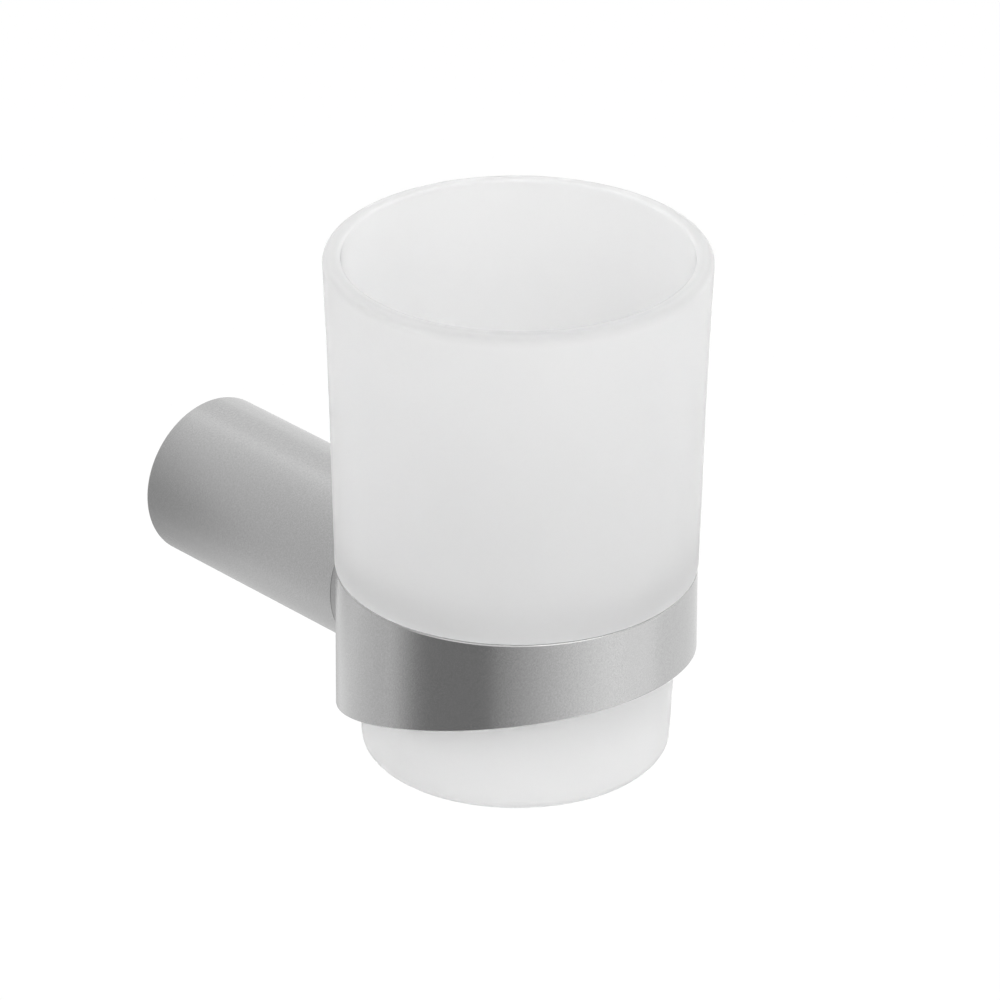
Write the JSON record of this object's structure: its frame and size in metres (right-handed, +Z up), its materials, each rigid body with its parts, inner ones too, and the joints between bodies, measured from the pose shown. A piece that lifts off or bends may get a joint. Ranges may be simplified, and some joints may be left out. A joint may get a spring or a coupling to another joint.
{
  "type": "tumbler holder",
  "caption": "Wall-mounted tumbler holder: a frosted stepped glass hangs by its shoulder in a satin metal ring carried by a short round post.",
  "frame": {"origin": "centre of the wall hub's back face, on the post's axis, in the wall plane", "axes": "+Y into the wall, +Z up along the tumbler's axis, +X to the right seen from the front"},
  "size_m": [0.07, 0.1216, 0.098],
  "materials": {
    "tumbler": "acid-etched frosted glass",
    "holder_ring": "fine bead-blasted satin",
    "ring_boss": "fine bead-blasted satin",
    "post": "fine bead-blasted satin",
    "ring_screw": "plain stainless steel",
    "lock_washer": "plain spring steel",
    "flat_washer": "plain stainless steel",
    "wall_hub": "turned, left plain",
    "set_screw": "plain stainless steel"
  },
  "bodies": {
    "holder": {"holder_ring": "holder_ring", "ring_boss": "ring_boss", "post": "post", "ring_screw": "ring_screw", "lock_washer": "lock_washer", "flat_washer": "flat_washer", "wall_hub": "wall_hub", "set_screw": "set_screw"},
    "tumbler": {"tumbler": "tumbler"}
  },
  "joints": [
    {"name": "tumbler_lift", "type": "slide", "parent": "holder", "child": "tumbler", "axis": [0, 0, 1], "range_m": [0, 0.055]}
  ]
}
